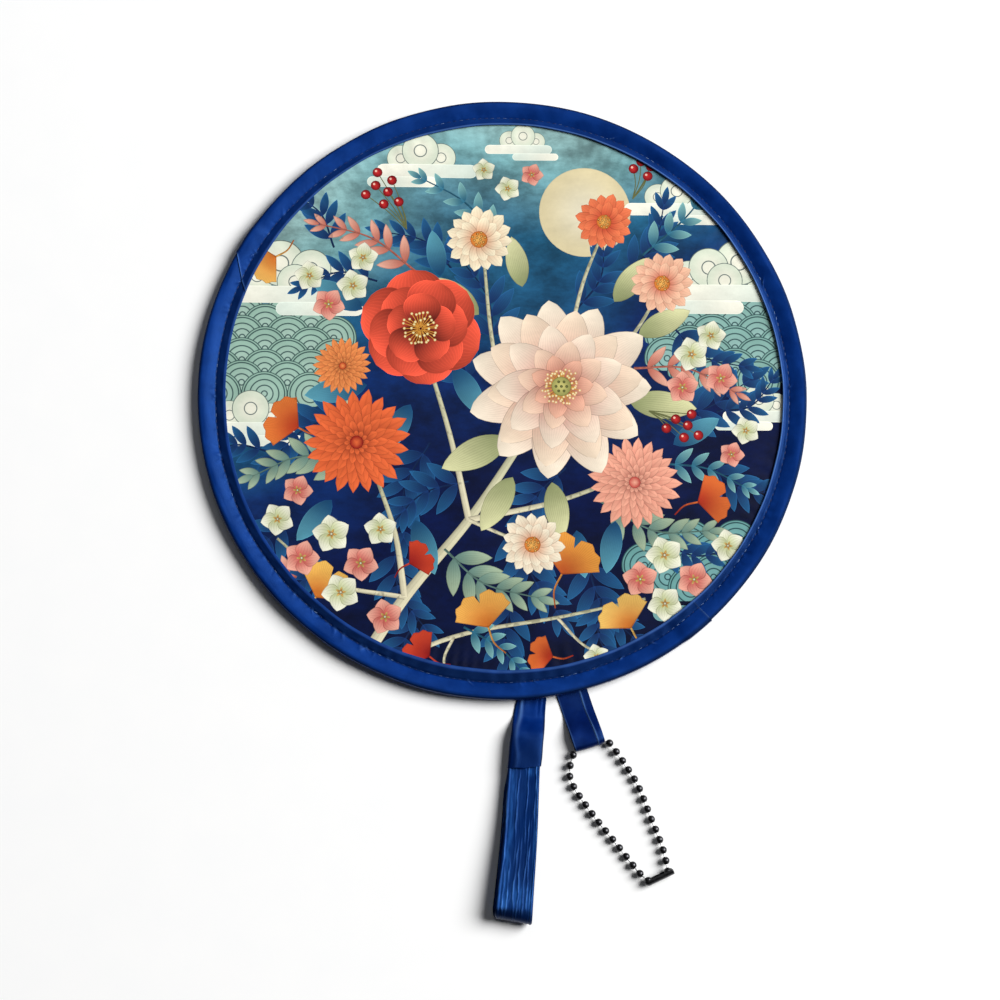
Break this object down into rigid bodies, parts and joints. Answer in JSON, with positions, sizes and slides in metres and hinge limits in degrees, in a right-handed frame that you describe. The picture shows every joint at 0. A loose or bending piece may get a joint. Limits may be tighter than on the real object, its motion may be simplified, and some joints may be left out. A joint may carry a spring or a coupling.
{
  "type": "round folding fan",
  "caption": "Round hand fan that twists down into small rings: printed cloth in a sprung hoop with a satin binding, an elastic wrist strap and a loop of ball chain.",
  "frame": {"origin": "centre of the cloth's printed face", "axes": "+Z out of the printed face, +Y away from the strap, +X to the right of a viewer of the print"},
  "size_m": [0.2498, 0.3404, 0.0075],
  "materials": {
    "spring_steel": "rolled spring steel, dull",
    "printed_cloth": "printed satin polyester",
    "navy_satin": "woven satin tape",
    "ribbed_elastic": "shiny ribbed elastic",
    "gunmetal": "polished black-nickel plate"
  },
  "bodies": {
    "fan": {"hoop_band": "spring_steel", "hoop_splice": "spring_steel", "screen_cloth": "printed_cloth", "upper_binding_tape": "navy_satin", "lower_binding_tape": "navy_satin", "strap_root": "navy_satin", "tab_root": "navy_satin"},
    "strap": {"strap_sleeve": "navy_satin", "elastic_tail": "ribbed_elastic"},
    "hand_loop": {"elastic_loop": "ribbed_elastic"},
    "tab": {"tab_loop": "navy_satin", "chain_bead_14": "gunmetal", "chain_bead_15": "gunmetal", "chain_bead_16": "gunmetal", "chain_bead_17": "gunmetal", "chain_bead_18": "gunmetal", "chain_bead_19": "gunmetal"},
    "chain_row_01": {"chain_bead_13": "gunmetal", "chain_bead_20": "gunmetal"},
    "chain_row_02": {"chain_bead_12": "gunmetal", "chain_bead_21": "gunmetal"},
    "chain_row_03": {"chain_bead_11": "gunmetal", "chain_bead_22": "gunmetal"},
    "chain_row_04": {"chain_bead_10": "gunmetal", "chain_bead_23": "gunmetal"},
    "chain_row_05": {"chain_bead_09": "gunmetal", "chain_bead_24": "gunmetal"},
    "chain_row_06": {"chain_bead_08": "gunmetal", "chain_bead_25": "gunmetal"},
    "chain_row_07": {"chain_bead_07": "gunmetal", "chain_bead_26": "gunmetal"},
    "chain_row_08": {"chain_bead_06": "gunmetal", "chain_bead_27": "gunmetal"},
    "chain_row_09": {"chain_bead_05": "gunmetal", "chain_bead_28": "gunmetal"},
    "chain_row_10": {"chain_bead_04": "gunmetal", "chain_bead_29": "gunmetal"},
    "chain_row_11": {"chain_bead_03": "gunmetal", "chain_bead_30": "gunmetal"},
    "chain_row_12": {"chain_bead_02": "gunmetal", "chain_bead_31": "gunmetal"},
    "chain_row_13": {"chain_bead_32": "gunmetal"},
    "connector": {"chain_bead_01": "gunmetal", "chain_connector": "gunmetal"}
  },
  "joints": [
    {"name": "strap_swing", "type": "hinge", "parent": "fan", "child": "strap", "pos_m": [0.01162, -0.12621, -0.00285], "axis": [-0.9969, 0.0785, 0], "range_deg": [-60, 75]},
    {"name": "hand_loop_bend", "type": "hinge", "parent": "strap", "child": "hand_loop", "pos_m": [0.00947, -0.15363, -0.00165], "axis": [-0.9969, 0.0785, 0], "range_deg": [-25, 25]},
    {"name": "tab_swing", "type": "hinge", "parent": "fan", "child": "tab", "pos_m": [0.02831, -0.12313, -0.00285], "axis": [-0.95, -0.3123, 0], "range_deg": [-75, 60]},
    {"name": "chain_bend_01", "type": "hinge", "parent": "tab", "child": "chain_row_01", "pos_m": [0.03503, -0.14751, -0.00103], "axis": [-0.8701, -0.4928, -0.0084], "range_deg": [-15, 15]},
    {"name": "chain_bend_02", "type": "hinge", "parent": "chain_row_01", "child": "chain_row_02", "pos_m": [0.03629, -0.15144, -0.00125], "axis": [-0.8838, -0.4677, -0.0132], "range_deg": [-15, 15]},
    {"name": "chain_bend_03", "type": "hinge", "parent": "chain_row_02", "child": "chain_row_03", "pos_m": [0.0383, -0.15529, -0.00147], "axis": [-0.8838, -0.4678, -0.0071], "range_deg": [-15, 15]},
    {"name": "chain_bend_04", "type": "hinge", "parent": "chain_row_03", "child": "chain_row_04", "pos_m": [0.04066, -0.15899, -0.00155], "axis": [-0.8836, -0.4683, -0.0002], "range_deg": [-15, 15]},
    {"name": "chain_bend_05", "type": "hinge", "parent": "chain_row_04", "child": "chain_row_05", "pos_m": [0.04309, -0.16264, -0.00155], "axis": [-0.884, -0.4675, 0], "range_deg": [-15, 15]},
    {"name": "chain_bend_06", "type": "hinge", "parent": "chain_row_05", "child": "chain_row_06", "pos_m": [0.04539, -0.16637, -0.00155], "axis": [-0.885, -0.4657, 0], "range_deg": [-15, 15]},
    {"name": "chain_bend_07", "type": "hinge", "parent": "chain_row_06", "child": "chain_row_07", "pos_m": [0.04756, -0.17014, -0.00155], "axis": [-0.886, -0.4637, 0], "range_deg": [-15, 15]},
    {"name": "chain_bend_08", "type": "hinge", "parent": "chain_row_07", "child": "chain_row_08", "pos_m": [0.0497, -0.1739, -0.00155], "axis": [-0.8872, -0.4613, 0], "range_deg": [-15, 15]},
    {"name": "chain_bend_09", "type": "hinge", "parent": "chain_row_08", "child": "chain_row_09", "pos_m": [0.05187, -0.17765, -0.00155], "axis": [-0.8889, -0.4581, 0], "range_deg": [-15, 15]},
    {"name": "chain_bend_10", "type": "hinge", "parent": "chain_row_09", "child": "chain_row_10", "pos_m": [0.05408, -0.18139, -0.00155], "axis": [-0.8909, -0.4543, 0], "range_deg": [-15, 15]},
    {"name": "chain_bend_11", "type": "hinge", "parent": "chain_row_10", "child": "chain_row_11", "pos_m": [0.05622, -0.18517, -0.00155], "axis": [-0.8925, -0.451, 0], "range_deg": [-15, 15]},
    {"name": "chain_bend_12", "type": "hinge", "parent": "chain_row_11", "child": "chain_row_12", "pos_m": [0.05825, -0.18899, -0.0014], "axis": [-0.8935, -0.4491, 0.0006], "range_deg": [-15, 15]},
    {"name": "chain_bend_13", "type": "hinge", "parent": "chain_row_12", "child": "chain_row_13", "pos_m": [0.06017, -0.1928, -0.00111], "axis": [-0.8936, -0.4488, -0.0009], "range_deg": [-8, 8]},
    {"name": "connector_swing", "type": "hinge", "parent": "chain_row_13", "child": "connector", "pos_m": [0.05495, -0.19542, -0.00112], "axis": [0.0008, 0.0004, -1], "range_deg": [0, 12]}
  ]
}
